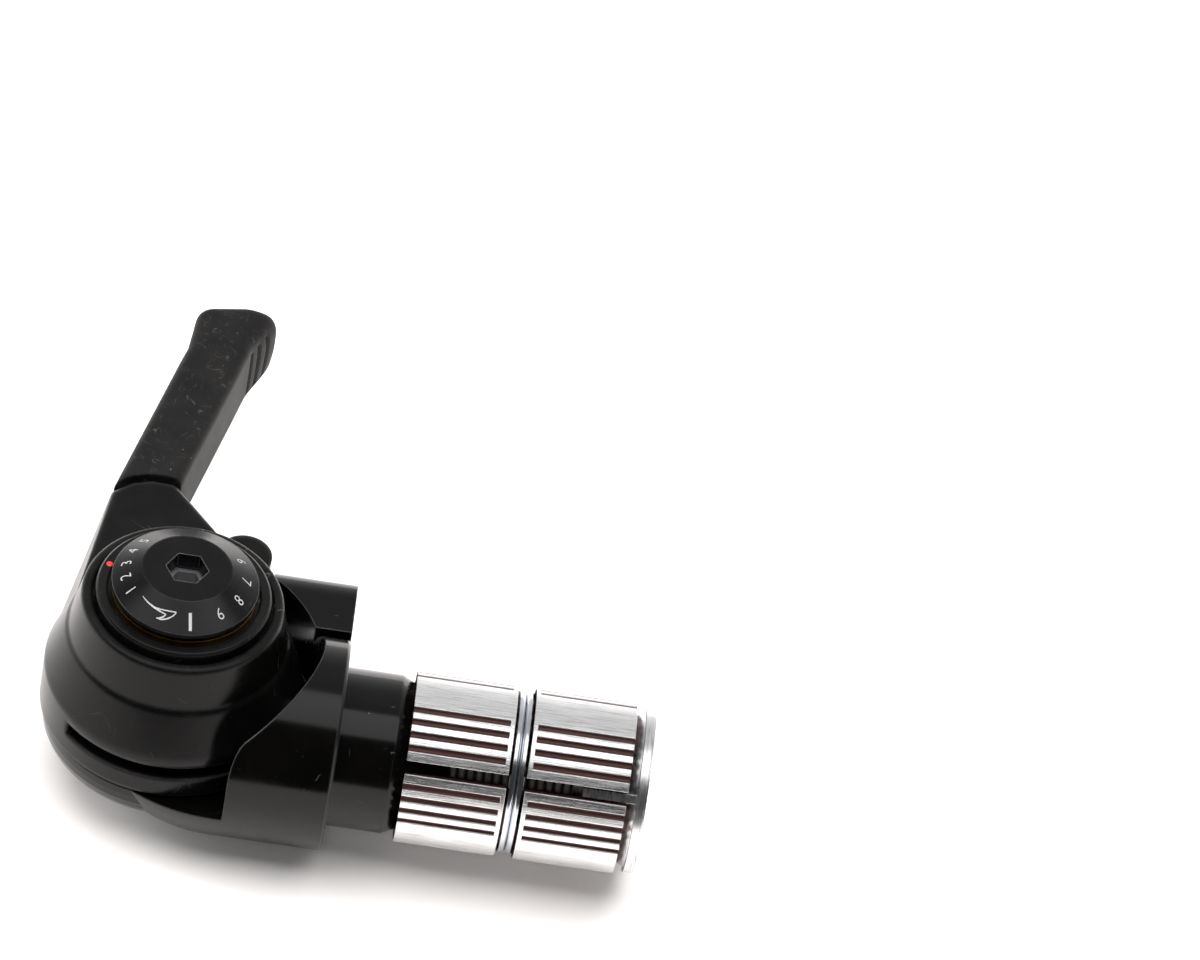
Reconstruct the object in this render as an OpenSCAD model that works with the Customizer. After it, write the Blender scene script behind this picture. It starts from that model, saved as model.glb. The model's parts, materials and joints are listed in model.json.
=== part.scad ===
// Bar end shifter: an expanding plug holds the mount in the open end of a drop handlebar,
// and a lever with a cable drum turns on a post that stands across the bar's axis.
// Origin on the bar's axis at the collar's end face, +X into the bar, +Z along the lever's post,
// +Y towards the cable stop.

/* [Bar plug] */
// Diameter of the collar, flush with the handlebar's outside
collar_d = 24; // [22.5:0.5:28]
// Diameter of the stub that enters the bar
stub_d = 18.1; // [17.5:0.1:18.3]
// Length of the stub before its cone starts
stub_len = 6.4; // [5:0.2:8]
// Diameter of the released expander wedges
plug_d = 19.4; // [19.2:0.1:20.2]
// Length of the expander wedges
wedge_len = 25.1; // [22:0.5:32]
// Gap between the collar's stub and the wedges' near end
wedge_setback = 1.5; // [1.2:0.1:2.5]
// Width of the slots between the wedges
slot_w = 1.56; // [1.2:0.1:2.5]
// Bore through the wedges
wedge_bore_d = 12.4; // [10:0.2:13]
// Radius lost per millimetre along the wedging cones
cone_slope = 0.5; // [0.4:0.05:0.55]
// Axial travel of the wedges from released to fully tight
wedge_travel = 1; // [0.6:0.1:1.2]
// Width of the spring's groove round the wedges
ring_slot_w = 2.1; // [1.9:0.1:2.4]
// Distance from the wedges' near end to the spring's groove
ring_slot_from = 11.5; // [9:0.5:12]
// Wire diameter of the two-turn spring
ring_wire_d = 0.98; // [0.7:0.02:1.0]
// Outer diameter of the two-turn spring
ring_od = 18.6; // [18.2:0.1:18.8]
// Flutes on each side of a wedge's smooth middle
flute_count = 4; // [2:1:4]
// Width of one flute
flute_w = 0.8; // [0.5:0.05:0.9]
// Angle from one flute to the next
flute_step = 9.2; // [8.5:0.1:9.4]
// Angle from a wedge's middle to its first flute
flute_first = 19.2; // [15:0.2:19.4]
// Thread diameter of the plug's bolt
bolt_d = 6; // [5:0.5:6]
// Diameter of the bolt's head
bolt_head_d = 9.2; // [8.5:0.1:9.6]
// Height of the bolt's head
bolt_head_h = 5.5; // [4.5:0.5:6]
// Hexagon across flats in the bolt's head
bolt_key = 5; // [4:0.5:5.5]
// Length of the cone nut
nut_len = 8.2; // [7:0.2:9]
// Length of the nut beyond the wedges' far end
nut_proud = 2.2; // [2:0.1:3]
// Radius of the cone nut's rim
nut_rim_r = 9.4; // [9.2:0.05:9.5]

/* [Mount body] */
// Distance of the post from the bar's end
post_back = 19.5; // [19:0.25:22]
// Distance of the post from the bar's axis, towards the cable stop
post_side = 4.8; // [4:0.2:5.4]
// Depth of the floor under the drum, below the bar's axis
floor_drop = 2.4; // [2:0.1:3]
// Radius of the hollow that the drum turns in
hollow_r = 16.6; // [16.2:0.1:17.2]
// Radius of the round seat under the drum
seat_r = 14.2; // [13:0.2:14.4]
// Depth of the seat below the floor
seat_h = 6.4; // [5.5:0.2:8]
// Radius of the long curve under the nose
nose_r = 18; // [16:0.5:22]
// Distance from the bar's end to the start of the nose's curve
nose_from = 13; // [12:0.5:16]
// Distance from the bar's end to the hollow's straight side
hollow_side = 11.6; // [10:0.2:13]
// Radius between the hollow's curve and its straight side
corner_r = 4; // [2:0.2:5]
// Near side of the cable stop, from the bar's axis
stop_near = 11.2; // [10.8:0.1:11.6]
// Top of the cable stop, above the bar's axis
stop_top = 7; // [6:0.2:8]
// Radius of the stop's round outer side
stop_r = 5; // [4.6:0.1:5.4]
// Length of the cable stop along the bar
stop_len = 9.6; // [8:0.2:9.8]
// Diameter of the socket for the cable housing
housing_d = 5.2; // [4.6:0.1:5.4]
// Depth of the housing's socket
housing_depth = 5; // [4:0.5:6]
// Diameter of the hole for the inner cable
cable_hole_d = 1.8; // [1.4:0.1:2.2]

/* [Lever] */
// Radius of the cable drum
drum_r = 14.6; // [14.2:0.1:15]
// Thickness of the flange below the groove
flange_t = 2.9; // [2.4:0.1:3.2]
// Width of the cable groove
groove_w = 1.9; // [1.5:0.1:2.2]
// Depth of the cable groove
groove_depth = 2.2; // [1.6:0.1:2.6]
// Height of the straight wall above the groove
wall_h = 1.4; // [1:0.1:2]
// Height of the sloping shoulder
shoulder_h = 5.7; // [5:0.1:6.2]
// Radius where the shoulder meets the neck
neck_r = 12.4; // [12:0.1:12.8]
// Height of the neck
neck_h = 5.4; // [5:0.1:6]
// Radius of the rim at the neck's top
rim_r = 11.46; // [11.2:0.05:11.8]
// Radius of the opening in the rim
mouth_r = 10.25; // [10.1:0.05:10.6]
// Radius of the cavity for the detent works
cavity_r = 9.6; // [9.5:0.05:9.8]
// Length of the lever's hub on its bush
hub_h = 8.1; // [7.6:0.1:8.4]
// Top of the arm above the bar's axis
arm_top = 10; // [9.6:0.1:10.2]
// Thickness of the arm at its free end
arm_t = 9; // [8:0.2:9.4]
// Edge radius of the arm
arm_edge = 0.8; // [0.5:0.1:1]
// Width of the rubber grip
grip_w = 7.2; // [6.6:0.1:7.6]
// Thickness of the rubber grip
grip_t = 9.6; // [9:0.1:10]
// Reach of the grip's tip from the post
grip_reach = 53.8; // [51:0.2:60]
// How far the thumb pad swells from the grip's side
pad_swell = 2.4; // [1.5:0.1:3]
// Grooves across the thumb pad
pad_grooves = 3; // [0:1:4]
// Width of a groove across the thumb pad
pad_groove_w = 0.7; // [0.5:0.05:0.8]
// Gap between the arm's end and the grip
grip_gap = 0.5; // [0.3:0.05:0.8]
// Width of the tang inside the grip
tang_w = 4.2; // [3.6:0.1:4.6]
// Thickness of the tang inside the grip
tang_t = 6; // [5:0.2:6.6]
// Length of the tang
tang_len = 24; // [20:1:26]
// Radius of the cable anchor's boss
anchor_r = 3.1; // [2.9:0.1:3.2]

/* [Post and dial] */
// Diameter of the post
post_d = 9; // [8.6:0.1:9.2]
// Depth of the post in the mount
post_root = 4.6; // [4:0.2:5]
// Wall of the bush round the post
bush_wall = 1; // [0.8:0.1:1.2]
// Thickness of the washer under the drum
low_washer_t = 0.7; // [0.6:0.05:1]
// Thickness of the index plate
index_t = 1.4; // [1.2:0.1:1.6]
// Clicks over the lever's stroke
clicks = 10; // [8:1:11]
// Lever stroke in degrees
lever_stroke = 110; // [100:1:120]
// Diameter of the detent balls
ball_d = 2.4; // [2:0.1:2.6]
// Thickness of the ball carrier
carrier_t = 2.4; // [2.2:0.1:2.6]
// Height of the dished spring washer
spring_h = 1.1; // [0.9:0.1:1.2]
// Thickness of the clamp plate
clamp_t = 1.2; // [1:0.1:1.4]
// Radius of the marker ring
ring_r = 9.9; // [9.7:0.05:9.9]
// Height of the marker ring above the rim
ring_proud = 1.07; // [0.8:0.05:1.3]
// Radius of the marker ring's recess
ring_recess_r = 8.6; // [8.5:0.05:8.8]
// Thickness of the brass washer
brass_t = 0.75; // [0.6:0.05:0.9]
// Radius of the dial
dial_r = 8.3; // [8.1:0.05:8.4]
// Radius of the dial's flat top
dial_flat_r = 5; // [4.4:0.1:5.6]
// Height of the dial
dial_h = 3.3; // [3:0.1:3.6]
// Height of the dial's straight rim
dial_rim = 0.7; // [0.5:0.05:0.9]
// Hexagon across flats through the dial
dial_key = 4.2; // [4:0.1:5]
// Diameter of the fixing bolt's head
cap_head_d = 7.2; // [6.8:0.1:7.4]
// Thread diameter of the fixing bolt
cap_bolt_d = 5; // [4:0.5:5]

/* [Hidden] */
$fn = 72;

// Clearance of turning fits, press seats, stacked faces and parts that pass each other
run_gap = 0.05;
seat_gap = 0.02;
face_gap = 0.05;
pass_gap = 0.3;
through = 80;

// Heights along the post, from the floor upwards
floor_z = -floor_drop;
drum_z = floor_z + pass_gap;
groove_z = drum_z + flange_t;
wall_z = groove_z + groove_w;
shoulder_z = wall_z + wall_h;
neck_z = shoulder_z + shoulder_h;
rim_z = neck_z + neck_h;
cavity_z = drum_z + hub_h;
plate_top = cavity_z + index_t;
carrier_z = plate_top + 0.55;
spring_z = carrier_z + carrier_t;
clamp_z = spring_z + spring_h + face_gap;
ring_z = clamp_z + clamp_t + face_gap;
ring_top = rim_z + ring_proud;
recess_z = ring_top - 0.47;
brass_top = recess_z + brass_t + face_gap;
dial_z = brass_top + face_gap;
dial_top = dial_z + dial_h;
head_z = ring_z + 2;
head_top = dial_z + 0.9;
thread_depth = 9;
thread_in = 8;

// Radii round the post
post_r = post_d / 2;
bush_r = post_r + run_gap + bush_wall;
groove_r = drum_r - groove_depth;
cable_d = 1.2;
cable_line = groove_r + cable_d / 2;
ball_orbit = cavity_r - 2.3;
flat_cut = post_r - 0.8;
washer_r = drum_r - 4.6;

// Places along the bar
plug_r = plug_d / 2;
stub_r = stub_d / 2;
collar_r = collar_d / 2;
wedge_x = stub_len + wedge_setback;
wedge_end = wedge_x + wedge_len;
spread = wedge_travel * cone_slope;
cone_gap = 0.05;
cone_tip = wedge_bore_d / 2 - 0.4;
head_seat_x = 2.5;
ring_slot_x = wedge_x + ring_slot_from;
ring_slot_r = ring_od / 2 - ring_wire_d - spread - run_gap;
nut_x = wedge_end + nut_proud - nut_len;
nut_r_at_end = stub_r - wedge_setback * cone_slope + nut_proud * cone_slope;
nut_rim_x = wedge_end + wedge_travel + 0.1;
slot_az = 140.7;

// The grip's straight axis in plan, as a line from the arm's end
grip_from = [-5.94, 22.6];
grip_turn = 76.5;
tip_turn = 85.5;
arm_end_c = [-4.6, 16.9];
arm_end_r = 6.4;

function arc(c, r, a0, a1, n) = [for (i = [0:n])
  c + r * [cos(a0 + (a1 - a0) * i / n), sin(a0 + (a1 - a0) * i / n)]];

module at_post() translate([-post_back, post_side, 0]) children();
module along_bar() rotate([0, 90, 0]) children();
module ring(r_in, r_out, z, h) translate([0, 0, z]) difference() {
  cylinder(r = r_out, h = h);
  translate([0, 0, -1]) cylinder(r = r_in, h = h + 2);
}

// Round post with two flats, which the fixed plates slip over
module flatted(r, gap, z, h) translate([0, 0, z]) intersection() {
  cylinder(r = r + gap, h = h);
  translate([-r - 1, -flat_cut - gap, -1]) cube([2 * r + 2, 2 * (flat_cut + gap), h + 2]);
}

module keyed_plate(r_out, z, h) difference() {
  translate([0, 0, z]) cylinder(r = r_out, h = h);
  flatted(post_r, run_gap, z - 1, h + 2);
}

module hex_hole(af, h) cylinder(r = af / sqrt(3), h = h, $fn = 6);

// The collar runs on as a nose that curves in below the drum
module nose_solid() along_bar() rotate_extrude($fn = 96) polygon(concat(
  [[0, 0], [collar_r - 0.3, 0], [collar_r, -0.3]],
  [for (p = arc([collar_r - nose_r, -nose_from], nose_r, 0, -70, 20)) if (p[0] > 0.5) p],
  [[0.5, -nose_from - sqrt(pow(nose_r, 2) - pow(nose_r - collar_r + 0.5, 2))],
   [0, -nose_from - sqrt(pow(nose_r, 2) - pow(nose_r - collar_r + 0.5, 2))]]));

module seat_solid() at_post() rotate_extrude($fn = 96) polygon(concat(
  [[0, floor_z], [seat_r, floor_z]],
  [for (i = [0:8]) [seat_r - 6.5 * (1 - cos(i * 90 / 8)), floor_z - 1 - (seat_h - 1) * sin(i * 90 / 8)]],
  [[0, floor_z - seat_h]]));

// Rounds the corner that the hollow's curve and its straight side leave in the collar
module hollow_corner() {
  side = post_back - hollow_side;
  c = [side + corner_r, -sqrt(pow(hollow_r + corner_r, 2) - pow(side + corner_r, 2))];
  touch = c * hollow_r / (hollow_r + corner_r);
  past_tangent = 0.04;
  at_post() translate([0, 0, floor_z]) difference() {
    linear_extrude(through) polygon([[side - 0.5, c[1]], [side - 0.5, touch[1] + 0.2], touch, c]);
    translate([c[0], c[1], -1]) cylinder(r = corner_r + past_tangent, h = through + 2);
  }
}

// Slab with a round outer side, square with the collar's end face
module stop_solid() {
  c = [post_side + cable_line - 1.2, stop_top - stop_r];
  rotate([90, 0, -90]) mirror([1, 0, 0]) linear_extrude(stop_len) union() {
    translate(c) circle(r = stop_r);
    translate([stop_near, c[1] - stop_r]) square([c[0] - stop_near, 2 * stop_r]);
  }
}

module mount_body() color("#161616") difference() {
  union() {
    difference() {
      union() {
        nose_solid();
        seat_solid();
        stop_solid();
      }
      at_post() translate([0, 0, floor_z]) cylinder(r = hollow_r, h = through, $fn = 96);
      hollow_corner();
      translate([-through - hollow_side, -through / 2, floor_z]) cube(through);
    }
    along_bar() cylinder(r = stub_r, h = stub_len);
    along_bar() translate([0, 0, stub_len])
      cylinder(r1 = stub_r, r2 = cone_tip, h = (stub_r - cone_tip) / cone_slope);
  }
  along_bar() translate([0, 0, -7]) cylinder(r = bolt_head_d / 2 + pass_gap, h = 7 + head_seat_x);
  along_bar() cylinder(r = bolt_d / 2 + run_gap, h = through);
  at_post() translate([0, 0, floor_z - post_root]) cylinder(r = post_r + seat_gap, h = through);
  translate([-housing_depth, post_side + cable_line, groove_z + groove_w / 2]) along_bar()
    cylinder(r = housing_d / 2, h = through);
  translate([-20, post_side + cable_line, groove_z + groove_w / 2]) along_bar()
    cylinder(r = cable_hole_d / 2, h = 20);
}

module pivot_post() color("silver") at_post() difference() {
  union() {
    translate([0, 0, floor_z - post_root]) cylinder(r = post_r, h = plate_top - floor_z + post_root);
    flatted(post_r, 0, plate_top - 1, ring_z - plate_top + 1 - face_gap);
  }
  translate([0, 0, ring_z - thread_depth]) cylinder(r = cap_bolt_d / 2 + seat_gap, h = through);
}

module low_washer() color("ivory") at_post() ring(bush_r + pass_gap, washer_r, floor_z, low_washer_t);

module detent_washer() color("dimgray") at_post() difference() {
  translate([0, 0, plate_top + face_gap]) cylinder(r = ball_orbit - ball_d / 2 - 0.2, h = 0.45);
  flatted(post_r, run_gap, plate_top - 1, 4);
}

ball_z = plate_top + 0.1 + ball_d / 2;

module detent_carrier() color("slategray") at_post() difference() {
  keyed_plate(cavity_r - 0.4, carrier_z, carrier_t);
  for (a = [0, 180]) rotate(a) translate([ball_orbit, 0, carrier_z - 1])
    cylinder(r = ball_d / 2 + run_gap, h = carrier_t + 2);
}

module detent_balls() color("lightsteelblue") at_post()
  for (a = [0, 180]) rotate(a) translate([ball_orbit, 0, ball_z]) sphere(d = ball_d, $fn = 32);

// Dished spring washer that presses the carrier's stack together
module spring_washer() color("gray") at_post() difference() {
  rotate_extrude() polygon([[post_r + 0.3, spring_z + spring_h - 0.5], [cavity_r - 1, spring_z],
    [cavity_r - 0.8, spring_z + 0.5], [post_r + 0.3, spring_z + spring_h]]);
}

module clamp_plate() color("darkgray") at_post() keyed_plate(cavity_r - 0.4, clamp_z, clamp_t);

// Ring that carries the red mark, with the brass washer in its recess
module marker_ring() color("#222222") at_post() difference() {
  rotate_extrude($fn = 96) polygon([
    [cap_bolt_d / 2 + run_gap, ring_z], [cavity_r - 0.5, ring_z], [cavity_r - 0.5, rim_z - 0.9],
    [ring_r, rim_z - 0.7], [ring_r, ring_top - 0.25], [ring_r - 0.25, ring_top],
    [ring_recess_r + 0.15, ring_top], [ring_recess_r, ring_top - 0.15], [ring_recess_r, recess_z],
    [cap_head_d / 2 + run_gap, recess_z], [cap_head_d / 2 + run_gap, head_z - face_gap],
    [cap_bolt_d / 2 + run_gap, head_z - face_gap]]);
}

module brass_washer() color("goldenrod") at_post()
  ring(cap_head_d / 2 + 0.2, dial_r - 0.1, recess_z + face_gap, brass_t);

module fixing_bolt() color("silver") at_post() difference() {
  union() {
    translate([0, 0, ring_z - thread_in]) cylinder(r = cap_bolt_d / 2, h = head_z - ring_z + thread_in);
    translate([0, 0, head_z]) cylinder(r = cap_head_d / 2, h = head_top - head_z);
  }
  translate([0, 0, head_top - 2]) hex_hole(dial_key - 0.8, 4);
}

// Turned shape of drum, shoulder, neck and rim
module drum_solid() rotate_extrude($fn = 120) polygon(concat(
  [[0, drum_z], [drum_r - 0.3, drum_z], [drum_r, drum_z + 0.3], [drum_r, shoulder_z - 0.5]],
  arc([drum_r - 1.5, shoulder_z - 0.5], 1.5, 0, 20, 4),
  [[neck_r + 0.3, neck_z - 0.4], [neck_r, neck_z]],
  arc([rim_r - 0.55, rim_z - 0.55], 0.55, 8, 90, 6),
  arc([mouth_r + 0.3, rim_z - 0.3], 0.3, 90, 180, 3),
  [[0, rim_z - 0.3]]));

// Flat-topped arm: its root lies just inside the sloping shoulder, and its end bulges towards the grip
root_inset = 0.12;
module arm_solid() hull() {
  translate([0, 0, shoulder_z]) cylinder(r1 = drum_r - root_inset - 0.3, r2 = neck_r - root_inset,
    h = arm_top - shoulder_z, $fn = 48);
  for (a = [145, 122, 99, 76], z = [arm_top - arm_t + arm_edge, arm_top - arm_edge])
    translate([arm_end_c[0], arm_end_c[1], z] + (arm_end_r - arm_edge) * [cos(a), sin(a), 0])
      sphere(r = arm_edge, $fn = 16);
}

module tang_solid(gap) translate([grip_from[0], grip_from[1], 0]) rotate(grip_turn)
  translate([-4, -tang_w / 2 - gap, arm_top - arm_t / 2 - tang_t / 2 - gap])
    cube([tang_len + 4 + gap, tang_w + 2 * gap, tang_t + 2 * gap]);

anchor_c = [6.2, 13.2];

module lever() color("#2b2b2b") at_post() difference() {
  union() {
    difference() {
      drum_solid();
      rotate([0, 0, -138]) rotate_extrude(angle = 190, $fn = 120)
        polygon([[groove_r, groove_z], [drum_r + 1, groove_z], [drum_r + 1, wall_z], [groove_r, wall_z]]);
    }
    arm_solid();
    tang_solid(0);
    translate([anchor_c[0], anchor_c[1], drum_z]) cylinder(r = anchor_r, h = arm_top - drum_z);
  }
  translate([0, 0, drum_z - 1]) cylinder(r = bush_r + seat_gap, h = through);
  translate([0, 0, drum_z - 1])
    cylinder(r = washer_r + 0.2, h = 1 + floor_z + low_washer_t + face_gap - drum_z);
  translate([0, 0, cavity_z]) cylinder(r = cavity_r, h = through);
  translate([0, 0, rim_z - 1.3]) cylinder(r = mouth_r, h = through, $fn = 96);
  translate([-4, cable_line, groove_z + groove_w / 2]) along_bar() cylinder(r = 0.8, h = 20);
  translate([-3.2, cable_line - 2.1, groove_z + groove_w / 2 - 2.1]) cube([9.2, 8, 4.2]);
}

module pivot_bush() color("peru") at_post() ring(post_r + run_gap, bush_r, drum_z + 0.1, hub_h - 0.1);

// Plate with a hole for each click
module index_plate() color("lightslategray") at_post() difference() {
  ring(bush_r - 0.4, cavity_r - seat_gap, cavity_z, index_t);
  for (i = [0:clicks], side = [0, 180]) rotate(side - i * lever_stroke / clicks)
    translate([ball_orbit, 0, cavity_z - 1]) cylinder(r = 0.62, h = index_t + 2, $fn = 24);
}

// Sections of the grip: rounded oblongs that bend near the tip, swell into a thumb pad and close
// with a slanting end
grip_y0 = 18.6;
grip_cap = 2.6;
grip_z = arm_top + 0.15 - grip_t / 2;
bend_y = grip_reach - 7.6;
pad_from = grip_reach - 8.2;
pad_rise = 6.6;
end_slant = 0.2;
function grip_x(y) = grip_from[0] + (min(y, bend_y) - grip_from[1]) / tan(grip_turn)
  + max(0, y - bend_y) / tan(tip_turn);
function cap_scale(y, p) = pow(max(0, 1 - pow(max(0, y - grip_reach + grip_cap) / grip_cap, p)), 1 / p);
function swell(y) = pad_swell * pow(sin(90 * min(1, max(0, (y - pad_from) / pad_rise))), 2);
function pad_share(s) = 1 - pow(max(0, s), 4) - 0.25 * pow(max(0, -s), 2);
function slant(y) = end_slant * min(1, max(0, (y - bend_y + 2) / 6));
function ease(v) = sign(v) * pow(abs(v), 0.4);
function grip_section(y, n) = [for (i = [0:n - 1]) let (a = 360 * i / n, c = ease(cos(a)), s = ease(sin(a)),
  side = grip_w / 2 * c + (c > 0 ? swell(y) * c * pad_share(s) : 0), across = side * cap_scale(y, 3))
  [grip_x(y) + across, y + slant(y) * across, grip_z + grip_t / 2 * cap_scale(y, 4) * s]];
module grip_solid() {
  n = 28;
  ys = [for (i = [0:8]) grip_y0 + (bend_y - 1 - grip_y0) * i / 8, bend_y,
        for (i = [1:5]) bend_y + (grip_reach - grip_cap - bend_y) * i / 5,
        for (i = [1:6]) grip_reach - grip_cap + grip_cap * sin(i * 84 / 6)];
  m = len(ys);
  points = [for (y = ys) each grip_section(y, n)];
  sides = [for (j = [0:m - 2], i = [0:n - 1]) let (k = (i + 1) % n)
    each [[j * n + i, (j + 1) * n + i, j * n + k], [j * n + k, (j + 1) * n + i, (j + 1) * n + k]]];
  polyhedron(points, concat([[for (i = [0:n - 1]) i]], sides,
    [[for (i = [n - 1:-1:0]) (m - 1) * n + i]]));
}

// Upright grooves across the pad, which the thumb pushes on
module pad_cuts() for (k = [0:1:pad_grooves - 1]) let (y = grip_reach - 6.4 + k * 1.6)
  translate([grip_x(y) + grip_w / 2 + swell(y) + 0.1, y + slant(y) * grip_w / 2 + 0.2, grip_z - 3.9])
    cylinder(d = pad_groove_w, h = 7.2, $fn = 12);

module lever_grip() color("#3a3836") at_post() difference() {
  grip_solid();
  translate([arm_end_c[0], arm_end_c[1], -5]) cylinder(r = arm_end_r + grip_gap, h = 20);
  translate([-20, 0, -5]) cube([40, 20.2, 20]);
  tang_solid(run_gap);
  pad_cuts();
}

module mode_dial() color("#1d1d1f") at_post() difference() {
  rotate_extrude($fn = 96) polygon([
    [0, dial_z], [dial_r - 0.7, dial_z], [dial_r - 0.7, dial_z + 0.45], [dial_r - 0.1, dial_z + 0.45],
    [dial_r, dial_z + 0.55], [dial_r, dial_z + 0.45 + dial_rim], [dial_flat_r + 0.1, dial_top - 0.04],
    [dial_flat_r - 0.1, dial_top], [0, dial_top]]);
  translate([0, 0, dial_z - 1]) cylinder(r = cap_head_d / 2 + run_gap, h = 1 + head_top - dial_z + 0.35);
  hex_hole(dial_key, through);
}

module plug_bolt() color("#55565a") along_bar() difference() {
  union() {
    translate([0, 0, head_seat_x - bolt_head_h]) cylinder(d = bolt_head_d, h = bolt_head_h);
    translate([0, 0, head_seat_x - 1])
      cylinder(d = bolt_d, h = wedge_end + nut_proud - 0.4 - head_seat_x + 1);
  }
  translate([0, 0, head_seat_x - bolt_head_h - 1]) hex_hole(bolt_key, 4);
}

// Cone that draws in behind the wedges, kept from turning by a key in each slot
module cone_nut() color("#b9bcc2") along_bar() difference() {
  union() {
    translate([0, 0, nut_x])
      cylinder(r1 = nut_r_at_end - nut_len * cone_slope, r2 = nut_r_at_end, h = nut_len);
    translate([0, 0, nut_rim_x]) rotate_extrude($fn = 96) polygon([[bolt_d / 2 + 1, 0], [nut_rim_r, 0],
      [nut_rim_r, nut_x + nut_len - nut_rim_x - 0.2], [nut_rim_r - 0.2, nut_x + nut_len - nut_rim_x],
      [bolt_d / 2 + 1, nut_x + nut_len - nut_rim_x]]);
    for (i = [0:2]) rotate(slot_az + 90 + 120 * i) translate([0, -0.5, nut_x + 1])
      cube([nut_r_at_end - 0.6, 1, nut_len - 1.5]);
  }
  translate([0, 0, nut_x - 1]) cylinder(r = bolt_d / 2 + run_gap, h = nut_len + 2);
}

// One third of the expander. Its cone seats are concentric with the cones when it is spread
module wedge(i) color("#c9ccd2") along_bar() rotate(slot_az + 90 + 60 + 120 * i) difference() {
  translate([0, 0, wedge_x]) intersection() {
    cylinder(r = plug_r, h = wedge_len, $fn = 96);
    translate([slot_w / 2 / sin(60), 0, -1]) linear_extrude(wedge_len + 2)
      polygon([[0, 0], 20 * [cos(60), sin(60)], [25, 0], 20 * [cos(60), -sin(60)]]);
  }
  cylinder(d = wedge_bore_d, h = through);
  ring(ring_slot_r, plug_r + 1, ring_slot_x, ring_slot_w);
  translate([-spread, 0, stub_len + wedge_travel])
    cylinder(r1 = stub_r + cone_gap, r2 = cone_tip - 1 + cone_gap, h = (stub_r - cone_tip + 1) / cone_slope);
  translate([-spread, 0, nut_x - wedge_travel]) cylinder(r1 = nut_r_at_end - nut_len * cone_slope + cone_gap,
    r2 = nut_r_at_end + cone_gap, h = nut_len);
  for (k = [0:flute_count - 1], side = [-1, 1], far = [0, 1])
    rotate(side * (flute_first + k * flute_step))
      translate([plug_r + 0.02, 0, far ? ring_slot_x + ring_slot_w + 0.5 : wedge_x - 1])
        cylinder(d = flute_w, h = far ? 60 : ring_slot_from + 0.5, $fn = 16);
}

// Two close turns of spring wire round the wedges
module wedge_spring() color("#9aa7c0") along_bar()
  for (k = [-1, 1]) translate([0, 0, ring_slot_x + ring_slot_w / 2 + k * (ring_wire_d / 2 + 0.01)])
    rotate_extrude() translate([(ring_od - ring_wire_d) / 2, 0]) circle(d = ring_wire_d, $fn = 20);

mount_body();
pivot_post();
low_washer();
detent_washer();
detent_carrier();
detent_balls();
spring_washer();
clamp_plate();
marker_ring();
brass_washer();
fixing_bolt();
lever();
pivot_bush();
index_plate();
lever_grip();
mode_dial();
plug_bolt();
cone_nut();
wedge(0);  // wedge_1
wedge(1);  // wedge_2
wedge(2);  // wedge_3
wedge_spring();
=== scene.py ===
import json
import math
import bpy
import numpy as np
from mathutils import Matrix, Vector


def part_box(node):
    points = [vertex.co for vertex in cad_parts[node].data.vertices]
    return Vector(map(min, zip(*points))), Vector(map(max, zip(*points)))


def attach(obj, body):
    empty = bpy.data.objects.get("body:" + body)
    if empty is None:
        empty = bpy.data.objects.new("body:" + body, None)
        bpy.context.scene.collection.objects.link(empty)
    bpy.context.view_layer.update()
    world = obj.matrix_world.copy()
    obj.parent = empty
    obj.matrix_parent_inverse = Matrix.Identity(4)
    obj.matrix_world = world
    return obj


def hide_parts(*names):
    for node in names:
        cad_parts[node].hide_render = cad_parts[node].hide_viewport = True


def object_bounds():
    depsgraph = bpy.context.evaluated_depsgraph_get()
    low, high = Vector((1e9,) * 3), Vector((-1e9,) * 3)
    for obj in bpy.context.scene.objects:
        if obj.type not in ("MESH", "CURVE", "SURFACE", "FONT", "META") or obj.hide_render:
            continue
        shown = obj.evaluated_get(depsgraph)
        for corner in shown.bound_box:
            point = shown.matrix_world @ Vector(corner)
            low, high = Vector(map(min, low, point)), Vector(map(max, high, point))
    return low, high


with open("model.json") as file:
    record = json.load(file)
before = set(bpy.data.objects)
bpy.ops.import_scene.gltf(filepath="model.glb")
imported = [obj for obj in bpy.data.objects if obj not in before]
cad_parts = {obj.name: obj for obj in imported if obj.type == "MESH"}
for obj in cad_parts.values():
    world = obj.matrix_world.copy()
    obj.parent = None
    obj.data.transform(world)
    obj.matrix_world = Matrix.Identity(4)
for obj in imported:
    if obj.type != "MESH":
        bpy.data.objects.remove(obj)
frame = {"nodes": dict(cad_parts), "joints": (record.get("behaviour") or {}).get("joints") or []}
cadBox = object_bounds()
scene = bpy.context.scene
nodes = frame["nodes"]
mm = 0.001
print("frame loaded:", len(nodes), "nodes")

# Places that the pieces share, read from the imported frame
joints = {joint["name"]: joint for joint in frame["joints"]}
pivot = Vector(joints["lever_pivot"]["pos_m"])
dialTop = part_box("mode_dial")[1].z
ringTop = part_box("marker_ring")[1].z


# Helpers for node trees

def newMaterial(name):
    material = bpy.data.materials.new(name)
    material.use_nodes = True
    tree = material.node_tree
    return material, tree, tree.nodes["Principled BSDF"]


def addNode(tree, kind, values=None, **settings):
    node = tree.nodes.new(kind)
    for key, value in settings.items():
        setattr(node, key, value)
    for key, value in (values or {}).items():
        node.inputs[key].default_value = value
    return node


def objectSpace(tree, scale=(1, 1, 1), turn=(0, 0, 0), place=(0, 0, 0)):
    # Object coordinates moved, turned and scaled by a Mapping node
    coordinates = addNode(tree, "ShaderNodeTexCoord")
    mapping = addNode(tree, "ShaderNodeMapping", {"Scale": scale, "Rotation": turn, "Location": place})
    tree.links.new(coordinates.outputs["Object"], mapping.inputs["Vector"])
    return mapping.outputs["Vector"]


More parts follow.
